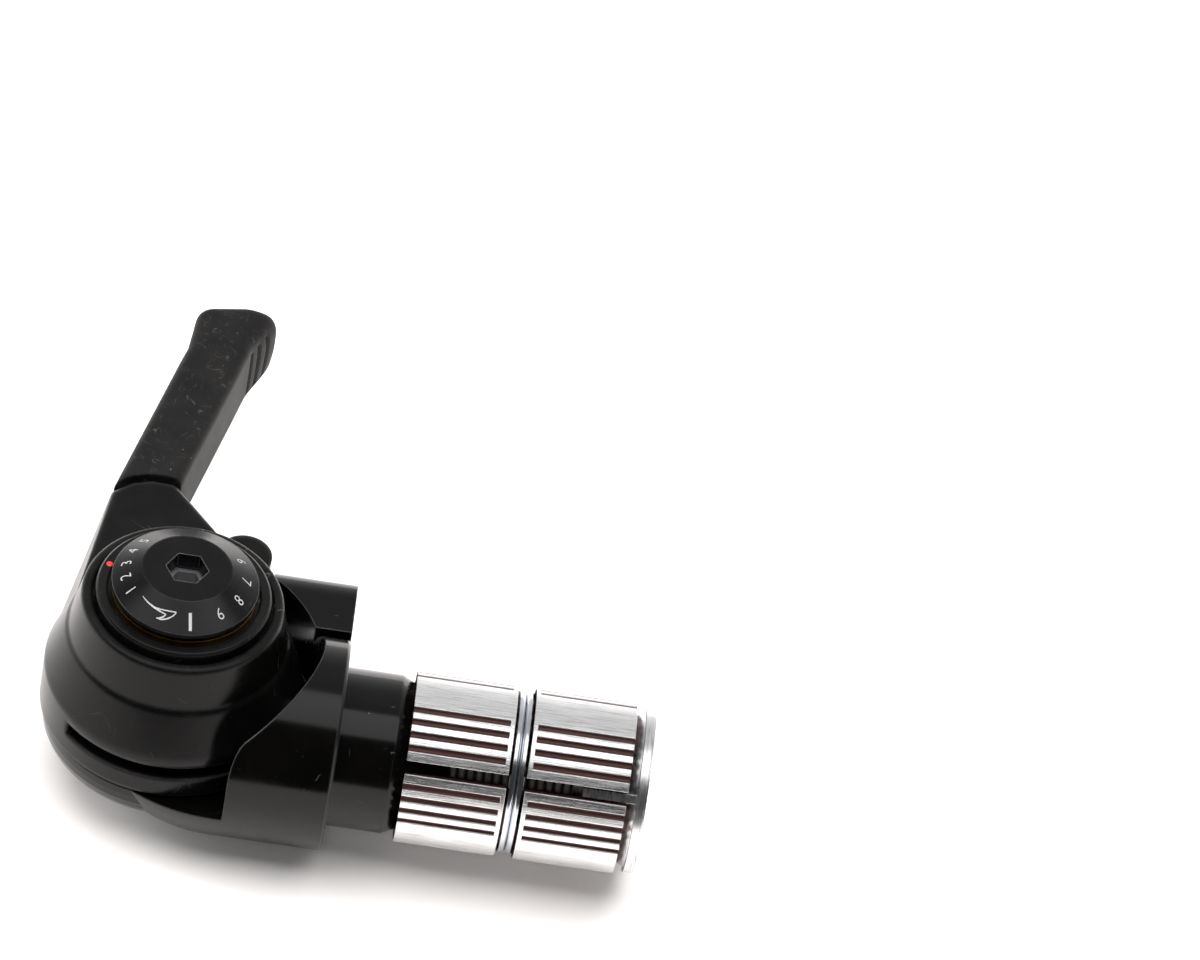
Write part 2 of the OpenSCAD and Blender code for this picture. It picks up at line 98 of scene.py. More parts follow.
def maths(tree, operation, first, second=None, third=None, clamp=False):
    node = addNode(tree, "ShaderNodeMath", operation=operation, use_clamp=clamp)
    for index, value in enumerate((first, second, third)):
        if value is None:
            continue
        if isinstance(value, (int, float)):
            node.inputs[index].default_value = value
        else:
            tree.links.new(value, node.inputs[index])
    return node.outputs[0]


def rampOf(tree, factor, stops):
    # Colour ramp whose stops are (place, grey or colour)
    ramp = addNode(tree, "ShaderNodeValToRGB")
    elements = ramp.color_ramp.elements
    for index, (place, shade) in enumerate(stops):
        element = elements[index] if index < 2 else elements.new(place)
        element.position = place
        element.color = (shade, shade, shade, 1) if isinstance(shade, (int, float)) else (*shade, 1)
    tree.links.new(factor, ramp.inputs["Fac"])
    return ramp.outputs["Color"]


def mixColours(tree, factor, first, second, blend="MIX"):
    node = addNode(tree, "ShaderNodeMix", data_type="RGBA", blend_type=blend)
    sockets = (node.inputs[0], node.inputs[6], node.inputs[7])
    for socket, value in zip(sockets, (factor, first, second)):
        if isinstance(value, (int, float)):
            socket.default_value = value
        elif isinstance(value, tuple):
            socket.default_value = (*value, 1)
        else:
            tree.links.new(value, socket)
    return node.outputs[2]


def newGroup(name, inputs, outputs):
    group = bpy.data.node_groups.new(name, "ShaderNodeTree")
    for label, kind, value in inputs:
        socket = group.interface.new_socket(label, in_out="INPUT", socket_type=kind)
        if value is not None:
            socket.default_value = value
    for label, kind in outputs:
        group.interface.new_socket(label, in_out="OUTPUT", socket_type=kind)
    return group, group.nodes.new("NodeGroupInput"), group.nodes.new("NodeGroupOutput")


def useGroup(tree, group, values, vector=None):
    node = addNode(tree, "ShaderNodeGroup")
    node.node_tree = group
    if vector:
        tree.links.new(vector, node.inputs["Vector"])
    for key, value in values.items():
        node.inputs[key].default_value = value
    return node.outputs


def bumpFrom(tree, height, strength, distance, normal):
    bump = addNode(tree, "ShaderNodeBump", {"Strength": strength, "Distance": distance})
    tree.links.new(height, bump.inputs["Height"])
    tree.links.new(normal, bump.inputs["Normal"])
    return bump.outputs["Normal"]


# Shared effects

handling = {
    "hairlines": (    # stretch, turn, place, scale, level, half width, scale of the patches
        ((1, 1.6, 1), (0, 0.2, 0), (0, 0, 0), 150, 0.47, 0.003, 420),
        ((1.7, 0.8, 1), (0.3, 0.2, 0.9), (3.1, 1.7, 0), 190, 0.51, 0.0022, 510),
        ((1, 1, 2.2), (0.6, 0.2, 1.8), (6.2, 3.4, 0), 230, 0.55, 0.004, 600)),
    "patchEdge": (0.8, 0.3), "patchSharp": 12, "speckScale": 1000, "specksFrom": 0.93, "speckSize": 2}


def makeHandlingMarks(look):
    # Curved hairlines: iso-lines of slow noise, kept in patches. Lint specks: sparse cells of uneven size
    group, given, result = newGroup(
        "handling marks",
        [("Vector", "NodeSocketVector", None), ("Size", "NodeSocketFloat", 1.0),
            ("Cover", "NodeSocketFloat", 0.5)],
        [("Mask", "NodeSocketFloat"), ("Specks", "NodeSocketFloat")])
    vector, size = given.outputs["Vector"], given.outputs["Size"]
    most, covered = look["patchEdge"]
    edge = maths(group, "SUBTRACT", most, maths(group, "MULTIPLY", given.outputs["Cover"], covered))
    total = None
    for stretch, turn, place, scale, level, half, patchScale in look["hairlines"]:
        mapping = addNode(group, "ShaderNodeMapping", {"Scale": stretch, "Rotation": turn, "Location": place})
        group.links.new(vector, mapping.inputs["Vector"])
        slow = addNode(group, "ShaderNodeTexNoise", {"Detail": 1.5, "Roughness": 0.45, "Distortion": 0.4})
        group.links.new(maths(group, "MULTIPLY", size, scale), slow.inputs["Scale"])
        group.links.new(mapping.outputs["Vector"], slow.inputs["Vector"])
        line = maths(group, "ABSOLUTE", maths(group, "SUBTRACT", slow.outputs["Fac"], level))
        thin = maths(group, "LESS_THAN", line, half)
        where = addNode(group, "ShaderNodeTexNoise", {"Detail": 1.0})
        group.links.new(maths(group, "MULTIPLY", size, patchScale), where.inputs["Scale"])
        group.links.new(vector, where.inputs["Vector"])
        inside = maths(group, "SUBTRACT", where.outputs["Fac"], edge)
        patch = maths(group, "MULTIPLY", inside, look["patchSharp"], clamp=True)
        mask = maths(group, "MULTIPLY", thin, patch)
        total = maths(group, "MAXIMUM", total, mask) if total else mask
    group.links.new(total, result.inputs["Mask"])
    cells = addNode(group, "ShaderNodeTexVoronoi", {"Randomness": 1.0})
    group.links.new(maths(group, "MULTIPLY", size, look["speckScale"]), cells.inputs["Scale"])
    group.links.new(vector, cells.inputs["Vector"])
    parts = addNode(group, "ShaderNodeSeparateColor")
    group.links.new(cells.outputs["Color"], parts.inputs["Color"])
    chosen = maths(group, "SUBTRACT", parts.outputs["Red"], look["specksFrom"], clamp=True)
    reach = maths(group, "MULTIPLY", chosen, look["speckSize"])
    group.links.new(maths(group, "LESS_THAN", cells.outputs["Distance"], reach), result.inputs["Specks"])
    return group


grains = {"Height": (4200, 3.0, 0.6), "Cloud": (260, 2.0, 0.5)}    # scale, detail, roughness of each noise


def makeGrain(look):
    # Fine surface grain in two sizes, as a height and as a slow cloudy variation
    group, given, result = newGroup(
        "surface grain",
        [("Vector", "NodeSocketVector", None), ("Size", "NodeSocketFloat", 1.0)],
        [(label, "NodeSocketFloat") for label in look])
    for label, (scale, detail, roughness) in look.items():
        noise = addNode(group, "ShaderNodeTexNoise", {"Detail": detail, "Roughness": roughness})
        group.links.new(maths(group, "MULTIPLY", given.outputs["Size"], scale), noise.inputs["Scale"])
        group.links.new(given.outputs["Vector"], noise.inputs["Vector"])
        group.links.new(noise.outputs["Fac"], result.inputs[label])
    return group


def makeToolLines():
    # Turning or drawing lines: one noise, stretched by its vector
    group, given, result = newGroup(
        "tool lines",
        [("Vector", "NodeSocketVector", None), ("Scale", "NodeSocketFloat", 300.0)],
        [("Height", "NodeSocketFloat")])
    noise = addNode(group, "ShaderNodeTexNoise", {"Detail": 4.0, "Roughness": 0.6})
    group.links.new(given.outputs["Vector"], noise.inputs["Vector"])
    group.links.new(given.outputs["Scale"], noise.inputs["Scale"])
    group.links.new(noise.outputs["Fac"], result.inputs["Height"])
    return group


def makeRoundedEdges():
    # Normal rounded over the edges, and how far it leaves the flat one
    group, given, result = newGroup(
        "rounded edges",
        [("Radius", "NodeSocketFloat", 0.0002)],
        [("Normal", "NodeSocketVector"), ("Leaving", "NodeSocketFloat")])
    bevel = addNode(group, "ShaderNodeBevel", samples=6)
    flat = addNode(group, "ShaderNodeNewGeometry")
    product = addNode(group, "ShaderNodeVectorMath", operation="DOT_PRODUCT")
    group.links.new(given.outputs["Radius"], bevel.inputs["Radius"])
    group.links.new(bevel.outputs["Normal"], product.inputs[0])
    group.links.new(flat.outputs["Normal"], product.inputs[1])
    group.links.new(bevel.outputs["Normal"], result.inputs["Normal"])
    leaving = maths(group, "SUBTRACT", 1, product.outputs["Value"], clamp=True)
    group.links.new(leaving, result.inputs["Leaving"])
    return group


def makeDepthDarkening():
    # Mask that is full inside one radius round the X axis and gone outside another
    group, given, result = newGroup(
        "depth darkening",
        [("Vector", "NodeSocketVector", None), ("Deep", "NodeSocketFloat", 0.0095),
            ("Unchanged", "NodeSocketFloat", 0.0097)],
        [("Mask", "NodeSocketFloat")])
    parts = addNode(group, "ShaderNodeSeparateXYZ")
    group.links.new(given.outputs["Vector"], parts.inputs["Vector"])
    squares = [maths(group, "MULTIPLY", parts.outputs[axis], parts.outputs[axis]) for axis in "YZ"]
    radius = maths(group, "SQRT", maths(group, "ADD", *squares))
    below = maths(group, "SUBTRACT", given.outputs["Unchanged"], radius)
    span = maths(group, "SUBTRACT", given.outputs["Unchanged"], given.outputs["Deep"])
    group.links.new(maths(group, "DIVIDE", below, span, clamp=True), result.inputs["Mask"])
    return group


handlingMarks = makeHandlingMarks(handling)
surfaceGrain = makeGrain(grains)
toolLines = makeToolLines()
roundedEdges = makeRoundedEdges()
depthDarkening = makeDepthDarkening()


# Finishes

coat = {"tones": (0.3, 0.7), "dustColour": (0.35, 0.34, 0.32), "markRough": 0.25, "bumpReach": 0.03 * mm}
metal = {"tones": (0.25, 0.7), "deepRough": 0.2, "bumpReach": 0.02 * mm}


def makeCoated(name, look):
    # Black coating: cloudy tone, fine grain, edges lighter as rubbed wear and as a painted highlight, sparse
    # scratches and specks of dust
    material, tree, shader = newMaterial(name)
    vector = objectSpace(tree)
    grain = useGroup(tree, surfaceGrain, {"Size": look["grain"]}, vector)
    marks = useGroup(tree, handlingMarks, {"Size": look["markSize"], "Cover": look["marks"]}, vector)
    edges = useGroup(tree, roundedEdges, {"Radius": look["edge"]})
    tone = rampOf(tree, grain["Cloud"], zip(coat["tones"], (look["colour"], look["worn"])))
    scuff = maths(tree, "MULTIPLY", marks["Mask"], look["markTone"])
    tone = mixColours(tree, scuff, tone, look["markAndHighlightColour"])
    # Edges lightened towards the mark colour: partly rubbed wear, partly a painted highlight along the edges
    worn = maths(tree, "MULTIPLY", edges["Leaving"], grain["Cloud"])
    wearAndHighlight = maths(tree, "MULTIPLY", worn, look["wearAndHighlight"], clamp=True)
    tone = mixColours(tree, wearAndHighlight, tone, look["markAndHighlightColour"])
    dust = maths(tree, "MULTIPLY", marks["Specks"], look["dust"])
    tree.links.new(mixColours(tree, dust, tone, coat["dustColour"]), shader.inputs["Base Color"])
    low, high = look["rough"]
    rough = maths(tree, "ADD", maths(tree, "MULTIPLY", grain["Cloud"], high - low), low)
    scratched = maths(tree, "MULTIPLY", marks["Mask"], coat["markRough"])
    rough = maths(tree, "ADD", rough, scratched, clamp=True)
    tree.links.new(rough, shader.inputs["Roughness"])
    shader.inputs["Specular IOR Level"].default_value = look["specular"]
    normal = bumpFrom(tree, grain["Height"], look["bump"], coat["bumpReach"], edges["Normal"])
    tree.links.new(normal, shader.inputs["Normal"])
    return material


def makeMetal(name, look):
    # Bare metal with turning or drawing lines along one axis, light tarnish, a darker tone below a radius
    # round X, and highlights spread across lines that run along X
    material, tree, shader = newMaterial(name)
    plain = objectSpace(tree)
    lines = useGroup(tree, toolLines, {"Scale": look["lineScale"]}, objectSpace(tree, scale=look["stretch"]))
    grain = useGroup(tree, surfaceGrain, {"Size": 1.0}, plain)
    edges = useGroup(tree, roundedEdges, {"Radius": look["edge"]})
    tone = rampOf(tree, grain["Cloud"], zip(metal["tones"], (look["dark"], look["colour"])))
    if "streaks" in look:
        streaks = rampOf(tree, lines["Height"], look["streaks"])
        tone = mixColours(tree, 1.0, tone, streaks, blend="MULTIPLY")
    low, high = look["rough"]
    rough = maths(tree, "ADD", maths(tree, "MULTIPLY", lines["Height"], high - low), low)
    # Darker tone and higher roughness below a radius round X, in the deeper parts of the surface
    if "darkerBelow" in look:
        deep, unchanged = look["darkerBelow"]
        darkened = useGroup(tree, depthDarkening, {"Deep": deep, "Unchanged": unchanged}, plain)["Mask"]
        tone = mixColours(tree, darkened, tone, look["deepTone"])
        rough = maths(tree, "MULTIPLY_ADD", darkened, metal["deepRough"], rough)
    tree.links.new(tone, shader.inputs["Base Color"])
    shader.inputs["Metallic"].default_value = look.get("metallic", 1.0)
    if "brushed" in look:
        flat = addNode(tree, "ShaderNodeNewGeometry")
        across = addNode(tree, "ShaderNodeVectorMath", operation="CROSS_PRODUCT")
        across.inputs[0].default_value = (1, 0, 0)
        tree.links.new(flat.outputs["Normal"], across.inputs[1])
        tree.links.new(across.outputs["Vector"], shader.inputs["Tangent"])
        shader.inputs["Anisotropic"].default_value = look["brushed"]
    tree.links.new(rough, shader.inputs["Roughness"])
    normal = bumpFrom(tree, lines["Height"], look["bump"], metal["bumpReach"], edges["Normal"])
    tree.links.new(normal, shader.inputs["Normal"])
    return material


# The edge lightening in each coating is partly rubbed wear and partly a painted highlight
bodyPaint = makeCoated("body paint", {
    "colour": (0.001, 0.0009, 0.0008), "worn": (0.002, 0.0018, 0.0016), "rough": (0.1, 0.2),
    "specular": 0.26, "grain": 0.6, "bump": 0.05, "edge": 0.00028, "wearAndHighlight": 2.0, "dust": 0.2,
    "markSize": 1.0, "marks": 0.4, "markTone": 0.3, "markAndHighlightColour": (0.2, 0.2, 0.2)})
leverBlack = makeCoated("lever coating", {
    "colour": (0.002, 0.0019, 0.0018), "worn": (0.0042, 0.004, 0.0038), "rough": (0.17, 0.28),
    "specular": 0.19, "grain": 1.0, "bump": 0.12, "edge": 0.0008, "wearAndHighlight": 0.5, "dust": 0.3,
    "markSize": 0.6, "marks": 0.55, "markTone": 0.13, "markAndHighlightColour": (0.25, 0.25, 0.24)})
ringBlack = makeCoated("ring coating", {
    "colour": (0.002, 0.0019, 0.0018), "worn": (0.0042, 0.004, 0.0038), "rough": (0.24, 0.36),
    "specular": 0.25, "grain": 1.0, "bump": 0.12, "edge": 0.0002, "wearAndHighlight": 0.4, "dust": 0.3,
    "markSize": 1.2, "marks": 0.6, "markTone": 0.35, "markAndHighlightColour": (0.25, 0.25, 0.24)})
dialBlack = makeCoated("dial coating", {
    "colour": (0.001, 0.001, 0.0014), "worn": (0.0025, 0.0025, 0.003), "rough": (0.22, 0.3),
    "specular": 0.24, "grain": 1.0, "bump": 0.08, "edge": 0.0002, "wearAndHighlight": 3.0, "dust": 0.25,
    "markSize": 1.0, "marks": 0.35, "markTone": 0.15, "markAndHighlightColour": (0.3, 0.3, 0.3)})
gripRubber = makeCoated("grip rubber", {
    "colour": (0.0048, 0.0045, 0.0046), "worn": (0.0085, 0.008, 0.0078), "rough": (0.5, 0.62),
    "specular": 0.2, "grain": 1.1, "bump": 0.7, "edge": 0.0003, "wearAndHighlight": 0.3, "dust": 0.5,
    "markSize": 1.9, "marks": 0.95, "markTone": 0.35, "markAndHighlightColour": (0.14, 0.12, 0.1)})
wedgeAlloy = makeMetal("wedge alloy", {
    "colour": (0.97, 0.97, 0.97), "dark": (0.88, 0.88, 0.88), "stretch": (1, 30, 30), "lineScale": 250,
    "rough": (0.12, 0.36), "bump": 0.8, "edge": 0.00016, "brushed": 0.84,
    "streaks": ((0.38, 0.72), (0.46, 0.98), (0.58, 1.0)),
    "darkerBelow": (0.0095, 0.00968), "deepTone": (0.12, 0.065, 0.06)})
nutAlloy = makeMetal("nut alloy", {
    "colour": (0.9, 0.9, 0.91), "dark": (0.8, 0.8, 0.81), "stretch": (14, 1, 1), "lineScale": 300,
    "rough": (0.2, 0.38), "bump": 0.2, "edge": 0.0001, "streaks": ((0.35, 0.7), (0.55, 1.0))})
zincWire = makeMetal("zinc wire", {
    "colour": (0.78, 0.82, 0.86), "dark": (0.6, 0.62, 0.66), "stretch": (6, 1, 1), "lineScale": 500,
    "rough": (0.12, 0.25), "bump": 0.1, "edge": 0.00005})
boltSteel = makeMetal("bolt steel", {
    "colour": (0.72, 0.7, 0.62), "dark": (0.5, 0.48, 0.42), "stretch": (3, 1, 1), "lineScale": 400,
    "rough": (0.3, 0.45), "bump": 0.2, "edge": 0.0001, "metallic": 0.4,
    "darkerBelow": (0.0025, 0.00285), "deepTone": (0.05, 0.045, 0.04)})
# Steel darkened as painted shade: its colour stands for the shade at the bottom of the hex socket, which is
# deeper in the real part
steelWithPaintedShade = makeMetal("steel with painted shade", {
    "colour": (0.26, 0.26, 0.27), "dark": (0.16, 0.16, 0.17), "stretch": (1, 1, 6), "lineScale": 400,
    "rough": (0.3, 0.45), "bump": 0.1, "edge": 0.0001, "metallic": 0.6})
turnedBrass = makeMetal("turned brass", {
    "colour": (0.4, 0.24, 0.08), "dark": (0.15, 0.08, 0.03), "stretch": (1, 1, 8), "lineScale": 400,
    "rough": (0.3, 0.45), "bump": 0.1, "edge": 0.00005})

nodeFinishes = {
    "mount_body": bodyPaint, "lever": leverBlack, "marker_ring": ringBlack, "mode_dial": dialBlack,
    "lever_grip": gripRubber, "plug_bolt": boltSteel, "cone_nut": nutAlloy, "wedge_1": wedgeAlloy,
    "wedge_2": wedgeAlloy, "wedge_3": wedgeAlloy, "wedge_spring": zincWire, "brass_washer": turnedBrass,
    "pivot_bush": turnedBrass}
for name, node in nodes.items():
    node.data.materials.clear()
    node.data.materials.append(nodeFinishes.get(name, steelWithPaintedShade))
print("finishes assigned")


# Helpers for pieces made of numpy surfaces

def gridFaces(rows, columns):
    # Quads between neighbouring rows of a surface whose columns close in a ring
    row, column = np.meshgrid(np.arange(rows - 1) * columns, np.arange(columns), indexing="ij")
    after = (column + 1) % columns
    quads = [row + column, row + after, row + columns + after, row + columns + column]
    return np.stack(quads, -1).reshape(-1, 4)


def closeSurface(points):
    # Joins rows x columns points into a closed surface with a fan at each end, normals outwards
    rows, columns = points.shape[:2]
    verts = np.concatenate([points.reshape(-1, 3), points[:1].mean(1), points[-1:].mean(1)])
    column = np.arange(columns)
    after = (column + 1) % columns
    first, last = rows * columns, rows * columns + 1
    top = (rows - 1) * columns
    quads = gridFaces(rows, columns)
    fans = np.concatenate([
        np.stack([after, column, np.full(columns, first)], -1),
        np.stack([top + column, top + after, np.full(columns, last)], -1)])
    corners = verts[quads]
    spans = np.cross(corners[:, 1], corners[:, 2]) + np.cross(corners[:, 2], corners[:, 3])
    volume = np.einsum("ij,ij->i", corners[:, 0], spans).sum()
    faces = quads.tolist() + fans.tolist()
    return verts, [face[::-1] for face in faces] if volume < 0 else faces


def addPiece(name, verts, faces, material, body, sharp=35):
    mesh = bpy.data.meshes.new(name)
    mesh.from_pydata(np.asarray(verts).tolist(), [], faces)
    mesh.polygons.foreach_set("use_smooth", np.ones(len(mesh.polygons), bool))
    mesh.set_sharp_from_angle(angle=math.radians(sharp))
    mesh.materials.append(material)
    piece = bpy.data.objects.new(name, mesh)
    scene.collection.objects.link(piece)
    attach(piece, body)
    return piece


def roundedBox(sideSteps, topSteps, cornerSteps):
    # Columns of a rounded oblong: the corner's signs, run along the straight sides, and the turn of its edge
    corners = np.array([(1, 1), (-1, 1), (-1, -1), (1, -1)], float)
    signs, turns = [], []
    for quarter, here in enumerate(corners):
        steps = sideSteps if quarter % 2 else topSteps
        share = np.arange(1, steps)[:, None] / steps
        signs += [np.tile(here, (cornerSteps + 1, 1)), here + (corners[(quarter + 1) % 4] - here) * share]
        turns += [quarter + np.arange(cornerSteps + 1) / cornerSteps, np.full(steps - 1, quarter + 1)]
    return np.concatenate(signs), np.concatenate(turns) * np.pi / 2


def smooth(value):
    value = np.clip(value, 0, 1)
    return value * value * (3 - 2 * value)


# Rubber grip, in millimetres from the post

grip = {
    "from": (-5.94, 22.6), "turn": 76.5, "tipTurn": 85.5, "width": 7.2, "thick": 9.6, "top": 10.15,
    "reach": 53.8, "bend": 46.2, "edge": 1.25, "cap": 2.6, "slant": 0.2,
    "slantFrom": 44.2, "slantOver": 6, "swell": 2.4, "padFrom": 45.6, "padRise": 6.6, "padLow": 0.25,
    "grooves": (47.5, 49.15, 50.8), "grooveHalf": 0.36, "grooveDepth": 0.5,
    "grooveLow": 1.5, "grooveHigh": 8.6, "grooveFade": 0.5, "grooveOutward": (0.75, 0.2),
    "armEnd": (-4.6, 16.9), "mouth": 6.9, "mouthNear": 22, "mouthRounds": 5, "lip": 0.22,
    "tangHalf": (2.21, 3.05), "tangMiddle": 5.5, "tangEdge": 0.1,
    "columns": (22, 8, 7),    # steps along a side, the top and a corner
    "tangRows": (45.95, 26, 6), "lipTurns": (90, 0, 5),    # rows: from, to, count
    "sleeveTo": 30, "sleeveShares": (0.15, 1, 7), "straightRows": (31.5, 46, 12),
    "padRows": (46.12, 51.2, 46), "capTurns": (5, 88, 18)}


def makeGrip(look):
    # Rounded oblong sections at constant y along a bent axis. The right side swells into the thumb pad,
    # the sections shear with x near the tip, and three grooves are pressed into the pad
    signs, turns = roundedBox(*look["columns"])
    slope = 1 / math.tan(math.radians(look["turn"]))
    tipSlope = 1 / math.tan(math.radians(look["tipTurn"]))
    middle = look["top"] - look["thick"] / 2

    def section(y, shrink=0.0):
        axis = look["from"][0] + (np.minimum(y, look["bend"]) - look["from"][1]) * slope
        axis = axis + np.maximum(0, y - look["bend"]) * tipSlope
        inCap = np.clip((y - look["reach"] + look["cap"]) / look["cap"], 0, 1)
        wide = (1 - inCap ** 3) ** (1 / 3)
        high = (1 - inCap ** 4) ** (1 / 4)
        halfW = look["width"] / 2 * wide - shrink
        halfH = look["thick"] / 2 * high - shrink
        edge = np.minimum(look["edge"], 0.9 * np.minimum(halfW, halfH))
        across = signs[:, 0] * (halfW - edge) + edge * np.cos(turns)
        height = signs[:, 1] * (halfH - edge) + edge * np.sin(turns)
        share = np.clip(height / np.maximum(halfH, 0.01), -1, 1)
        padShare = 1 - np.maximum(0, share) ** 4 - look["padLow"] * np.maximum(0, -share) ** 2
        rise = np.sin(np.pi / 2 * np.clip((y - look["padFrom"]) / look["padRise"], 0, 1)) ** 2
        outward = np.clip(across / np.maximum(halfW, 0.01), 0, 1)
        across = across + look["swell"] * rise * outward * padShare * wide
        slant = look["slant"] * np.clip((y - look["slantFrom"]) / look["slantOver"], 0, 1)
        depth = y + slant * across
        above = smooth((height + middle - look["grooveLow"]) / look["grooveFade"])
        below = smooth((look["grooveHigh"] - height - middle) / look["grooveFade"])
        outFrom, outOver = look["grooveOutward"]
        pressed = look["grooveDepth"] * above * below * smooth((outward - outFrom) / outOver)
        for groove in look["grooves"]:
            cut = np.sqrt(np.clip(1 - ((depth - groove) / look["grooveHalf"]) ** 2, 0, 1))
            across = across - cut * pressed
        return np.stack([axis + across, depth, height + middle + 0 * depth], -1)

    def mouthLine(extra, shrink):
        # y of each column where the section meets the round mouth, found in a few rounds
        y = np.full(len(turns), float(look["mouthNear"]))
        for _ in range(look["mouthRounds"]):
            x = section(y, shrink)[:, 0]
            reach = look["mouth"] + extra
            fromAxis = np.maximum(0.1, reach ** 2 - (x - look["armEnd"][0]) ** 2)
            y = look["armEnd"][1] + np.sqrt(fromAxis)
        return y

    def level(places):
        # Rows of one y each
        return np.repeat(places[:, None], len(turns), 1)

    lip, edge = look["lip"], look["tangEdge"]
    halfW, halfH = look["tangHalf"]
    y = np.concatenate([
        section(level(np.linspace(*look["tangRows"])))[..., 1],
        section(mouthLine(0, lip * 2), lip * 2)[None, :, 1]])
    axis = look["from"][0] + (y - look["from"][1]) * slope
    x = axis + signs[:, 0] * (halfW - edge) + edge * np.cos(turns)
    z = look["tangMiddle"] + signs[:, 1] * (halfH - edge) + edge * np.sin(turns)
    tang = np.stack([x, y, z + 0 * y], -1)
    turned = []
    for turn in np.radians(np.linspace(*look["lipTurns"])):
        inset = lip * (1 - np.cos(turn))
        turned.append(section(mouthLine(lip * (1 - np.sin(turn)), inset), inset))
    start = mouthLine(lip, 0)
    sleeve = section(start + (look["sleeveTo"] - start) * np.linspace(*look["sleeveShares"])[:, None])
    cap = look["reach"] - look["cap"] + look["cap"] * np.sin(np.radians(np.linspace(*look["capTurns"])))
    places = np.concatenate([np.linspace(*look["straightRows"]), np.linspace(*look["padRows"]), cap])
    points = np.concatenate([tang, np.array(turned), sleeve, section(level(places))])
    return closeSurface(points * mm + np.array([pivot.x, pivot.y, 0]))


gripPiece = addPiece("grip_sleeve", *makeGrip(grip), gripRubber, "shift_lever", sharp=50)
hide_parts("lever_grip")
print("grip made")


# Plug bolt with a cut thread, seen through the slots

plugBolt = {
    "headFrom": -3.0, "headTo": 2.5, "headR": 4.6, "chamfer": 0.4, "key": 5.0, "keyDepth": 3.0,
    "keyChamfer": 0.15, "shankR": 3.0, "end": 34.8, "endChamfer": 0.8,
    "threadFrom": 6.0, "pitch": 1.0, "threadDepth": 0.55, "toothSteep": 1.25, "toothRoot": 0.12,
    "fadeIn": 1.0, "fadeOut": 0.6, "fadeDepth": 0.75, "rowStep": 0.1, "columns": 60}


def makeBolt(look):
    # Rows along the bar's axis. The thread's radius falls and rises once a pitch as the angle goes round
    columns, end, shank = look["columns"], look["end"], look["shankR"]
    angle = np.arange(columns) * 2 * np.pi / columns
    flat = look["key"] / 2 / np.cos((angle % (np.pi / 3)) - np.pi / 6)
    front, floor = look["headFrom"], look["headFrom"] + look["keyDepth"]
    headRows = (
        (floor, flat * 0.3), (floor, flat), (front + look["keyChamfer"], flat),
        (front, flat + look["keyChamfer"]), (front, look["headR"] - look["chamfer"]),
        (front + look["chamfer"], look["headR"]), (look["headTo"], look["headR"]),
        (look["headTo"], shank), (look["threadFrom"], shank))
    place = np.arange(look["threadFrom"] + look["rowStep"], end, look["rowStep"])[:, None]
    phase = (place / look["pitch"] - angle / (2 * np.pi)) % 1
    tooth = np.clip(np.abs(phase - 0.5) * 2 * look["toothSteep"] - look["toothRoot"], 0, 1)
    fadeIn = np.minimum(1, (place - look["threadFrom"]) / look["fadeIn"])
    fadeOut = look["fadeDepth"] * np.maximum(0, 1 - (end - place) / look["fadeOut"])
    thread = shank - look["threadDepth"] * (1 - tooth) * fadeIn - fadeOut * tooth
    x = np.concatenate([[row[0] for row in headRows], place[:, 0], [end]])[:, None]
    head = np.array([np.broadcast_to(row[1], columns) for row in headRows])
    r = np.concatenate([head, thread, np.full((1, columns), shank - look["endChamfer"])])
    return closeSurface(np.stack([x + 0 * r, r * np.cos(angle), r * np.sin(angle)], -1) * mm)


boltPiece = addPiece("threaded_bolt", *makeBolt(plugBolt), boltSteel, "bolt", sharp=30)
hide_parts("plug_bolt")
print("bolt made")


# Print on the dial's cone and the red dot on the marker ring

dialPrint = {
    "coneOuter": (8.3, -2.15), "coneInner": (5.1, -0.04), "lift": 0.012,    # radius, height below the top
    "tick": (-80.2, 6.2, 7.9, 0.34),
    "arrow": (    # strokes in plan from the post, each point with its width
        ((-4.44, -4.49, 0.06), (-3.69, -5.32, 0.14), (-2.85, -5.93, 0.2), (-2.2, -6.29, 0.13),
            (-1.63, -6.54, 0.13)),
        ((-2.81, -5.89, 0.14), (-2.25, -6.05, 0.13), (-1.71, -6.15, 0.13), (-1.1, -6.22, 0.13),
            (-0.5, -6.27, 0.15)),
        ((-0.5, -6.29, 0.13), (-1.03, -6.78, 0.16), (-1.66, -7.0, 0.18), (-2.17, -7.0, 0.16),
            (-2.65, -6.88, 0.06)),
        ((-2.65, -6.87, 0.06), (-1.99, -6.82, 0.18), (-1.61, -6.53, 0.13))),
    "arrowWidth": 0.85, "arrowSteps": 20, "tickSteps": 8,
    "numbers": (    # texts, azimuths of the first and last, radius of the foot
        (("1", "2", "3", "4", "5"), -149, -220, 6.3),
        (("6", "7", "8", "9"), 30, -50, 6.2)),
    "numberHeight": 1.15, "capShare": 0.7, "middle": 0.5, "thin": -0.012,
    "ink": (0.46, 0.46, 0.45), "inkRough": 0.5}


def onCone(points):
    # Plan points in millimetres from the post, lifted onto the dial's cone
    look = dialPrint
    radius = np.hypot(points[:, 0], points[:, 1])
    (rOut, zOut), (rIn, zIn) = look["coneOuter"], look["coneInner"]
    z = zOut + (rOut - radius) * (zIn - zOut) / (rOut - rIn) + look["lift"]
    return np.stack([points[:, 0] * mm + pivot.x, points[:, 1] * mm + pivot.y, z * mm + dialTop], -1)


def polar(degrees, radius):
    degrees = np.radians(degrees)
    return np.stack([radius * np.cos(degrees), radius * np.sin(degrees)], -1)


def strokeAlong(line, widths):
    # Flat ribbon of varying width along a line in plan
    ahead = np.gradient(line, axis=0)
    ahead = ahead / np.linalg.norm(ahead, axis=1)[:, None]
    side = np.stack([-ahead[:, 1], ahead[:, 0]], -1) * widths[:, None] / 2
    index = np.arange(len(line) - 1)
    across = index + len(line)
    faces = np.stack([index, index + 1, across + 1, across], -1)
    return np.concatenate([line - side, line + side]), faces.tolist()


